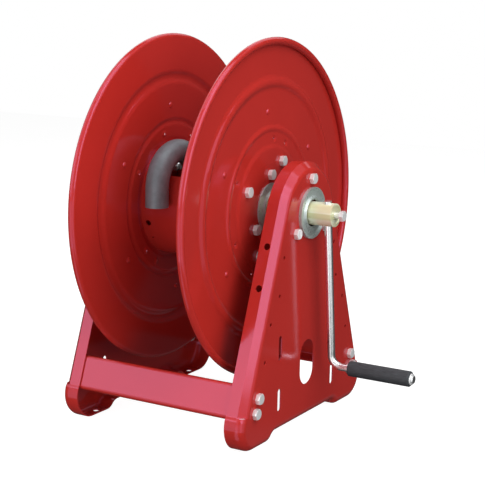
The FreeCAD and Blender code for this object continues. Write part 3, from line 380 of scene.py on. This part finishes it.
def bolt_threads(name, bolt_node, nut_node, body):
    """Threads on the ends of bolts that stand out past their nuts."""
    nuts = solids_of(nut_node)
    bm = bmesh.new()
    for bolt in solids_of(bolt_node):
        low, high = bolt
        centre = middle_of(bolt)
        nut = min(nuts, key=lambda box: (middle_of(box) - centre).length)
        nut_centre = middle_of(nut)
        k = min(range(3), key=lambda i: nut[1][i] - nut[0][i])
        sign = 1.0 if nut_centre[k] > centre[k] else -1.0
        tip = high[k] if sign > 0 else low[k]
        face = nut[1][k] if sign > 0 else nut[0][k]
        stick = abs(tip - face)
        if stick < THREAD_PITCH:
            continue
        start = nut_centre.copy()
        start[k] = face
        axis = Vector((0, 0, 0))
        axis[k] = sign
        add_thread(bm, start, axis, stick, BOLT_CREST, BOLT_ROOT)
    new_piece(name, bm, "zinc_plate", body)


bolt_threads("rail_bolt_threads", "rail_bolts", "rail_nuts", "frame")
bolt_threads("bearing_bolt_threads", "bearing_bolts", "bearing_nuts", "frame")
bolt_threads("hub_bolt_threads", "hub_bolts", "hub_nuts", "drum")
bolt_threads("drum_bolt_threads", "drum_bolts", "drum_nuts", "drum")
one_thread("clamp_bolt_thread", "zinc_plate", "drum",
           CLAMP_THREAD_START, (1, 0, 0), CLAMP_THREAD_LENGTH, CLAMP_CREST, CLAMP_ROOT)
one_thread("riser_mouth_thread", "black_pipe", "drum",
           RISER_THREAD_START, (0, 0, 1), RISER_THREAD_LENGTH, RISER_CREST, RISER_ROOT,
           PIPE_PITCH, RISER_STEPS)
one_thread("inlet_port_thread", "cast_brass", "inlet_swivel",
           INLET_THREAD_START, (0, 0, 1), INLET_THREAD_LENGTH, INLET_CREST, INLET_ROOT,
           PIPE_PITCH, INLET_STEPS)


# Floor, light and camera

def floor_look():
    """Pale matte studio floor with faint mottling, nearly white under the lights."""
    s = Shader("floor_look", Roughness=0.9, Specular_IOR_Level=0.0,
               Emission_Color=(1.0, 1.0, 1.0, 1.0), Emission_Strength=0.95)
    s.colour(s.ramp(s.noise(3.0, 4.0), (0.3, (0.28, 0.28, 0.28)), (0.7, (0.30, 0.30, 0.30))))
    return s.material


def add_floor():
    """A floor for the camera's eye. The object sees the studio's boxes in its place."""
    bm = bmesh.new()
    corners = ((-1, -1), (1, -1), (1, 1), (-1, 1))
    bm.faces.new([bm.verts.new((x * FLOOR_HALF, y * FLOOR_HALF, FLOOR_HEIGHT))
                  for x, y in corners])
    mesh = bpy.data.meshes.new("floor")
    bm.to_mesh(mesh)
    bm.free()
    floor = bpy.data.objects.new("floor", mesh)
    scene.collection.objects.link(floor)
    mesh.materials.append(floor_look())
    floor.visible_glossy = False
    floor.visible_diffuse = False
    floor.visible_shadow = False


def direction_at(azimuth, elevation):
    """The direction from the object to something around it.

    Azimuth runs from the object's front towards its crank side."""
    turn, rise = math.radians(azimuth), math.radians(elevation)
    return Vector((math.sin(turn) * math.cos(rise), -math.cos(turn) * math.cos(rise),
                   math.sin(rise)))


def soft_box(name, azimuth, elevation, width, height, radiance):
    """A soft light that faces the middle of the object, by its place, size and brightness."""
    direction = direction_at(azimuth, elevation)
    data = bpy.data.lights.new(name, "AREA")
    data.shape = "RECTANGLE"
    data.size = width
    data.size_y = height
    data.energy = radiance * math.pi * width * height
    light = bpy.data.objects.new(name, data)
    light.location = LIGHT_MIDDLE + direction * LIGHT_DISTANCE
    light.rotation_euler = direction.to_track_quat("Z", "Y").to_euler()
    light.visible_camera = False
    scene.collection.objects.link(light)


def studio_world():
    """White behind the object, and nearly dark to it, so that the boxes shape the light."""
    world = bpy.data.worlds.new("studio")
    scene.world = world
    world.use_nodes = True
    tree = world.node_tree
    nodes = tree.nodes
    nodes.clear()
    out = nodes.new("ShaderNodeOutputWorld")
    lit = nodes.new("ShaderNodeBackground")
    lit.inputs["Color"].default_value = (0.05, 0.05, 0.05, 1.0)
    white = nodes.new("ShaderNodeBackground")
    white.inputs["Color"].default_value = (1.0, 1.0, 1.0, 1.0)
    mix = nodes.new("ShaderNodeMixShader")
    seen = nodes.new("ShaderNodeLightPath").outputs["Is Camera Ray"]
    tree.links.new(seen, mix.inputs["Fac"])
    tree.links.new(lit.outputs["Background"], mix.inputs[1])
    tree.links.new(white.outputs["Background"], mix.inputs[2])
    tree.links.new(mix.outputs["Shader"], out.inputs["Surface"])


def make_camera():
    """The photograph's camera, fitted to the object's known sizes."""
    azimuth, roll = math.radians(CAMERA_AZIMUTH), math.radians(CAMERA_ROLL)
    back = direction_at(CAMERA_AZIMUTH, CAMERA_ELEVATION)
    right = Vector((math.cos(azimuth), math.sin(azimuth), 0.0))
    up = back.cross(right)
    rolled_right = right * math.cos(roll) + up * math.sin(roll)
    rolled_up = up * math.cos(roll) - right * math.sin(roll)
    data = bpy.data.cameras.new("camera")
    data.sensor_width = CAMERA_SENSOR
    data.lens = CAMERA_LENS
    data.clip_start = CAMERA_CLIP
    camera = bpy.data.objects.new("camera", data)
    turn = Matrix((rolled_right, rolled_up, back)).transposed().to_4x4()
    camera.matrix_world = Matrix.Translation(CAMERA_PLACE) @ turn
    scene.collection.objects.link(camera)
    scene.camera = camera


add_floor()

soft_box("left_box", 330, 18, 1.3, 1.3, 2.6)
soft_box("left_high_box", 325, 45, 1.3, 1.3, 0.4)
soft_box("left_low_box", 330, -12, 1.3, 1.3, 0.9)
soft_box("front_low_box", 0, -12, 1.3, 1.3, 1.4)
soft_box("camera_low_box", 30, -12, 1.3, 1.3, 0.7)
soft_box("front_box", 0, 18, 1.3, 1.3, 0.9)
soft_box("camera_box", 30, 18, 1.3, 1.3, 0.2)
soft_box("front_high_box", 15, 47, 2.6, 1.4, 0.55)
soft_box("right_box", 62, 18, 1.3, 1.3, 3.4)
soft_box("right_low_box", 60, -12, 1.3, 1.3, 1.2)
soft_box("right_high_box", 68, 45, 1.2, 1.3, 3.2)
soft_box("side_box", 92, 18, 1.3, 1.3, 1.2)
soft_box("side_low_box", 92, -12, 1.3, 1.3, 0.5)
soft_box("side_high_box", 100, 47, 1.3, 1.4, 1.7)
soft_box("side_top_box", 90, 70, 1.4, 1.4, 1.7)
soft_box("rear_high_box", 135, 50, 1.3, 1.3, 0.4)
soft_box("floor_rear_box", 150, -34, 1.3, 0.8, 0.08)
soft_box("top_box", 0, 82, 1.6, 1.6, 1.7)
soft_box("floor_glow", 0, -40, 1.6, 1.6, 0.8)
soft_box("far_left_wall", 285, 18, 2.6, 1.3, 1.1)
soft_box("far_left_high_wall", 285, 47, 2.4, 1.4, 1.2)
soft_box("back_left_box", 225, 35, 1.8, 1.8, 1.1)
soft_box("back_box", 180, 45, 1.4, 1.4, 1.0)

studio_world()
scene.view_settings.view_transform = "Standard"
scene.view_settings.look = "None"
make_camera()
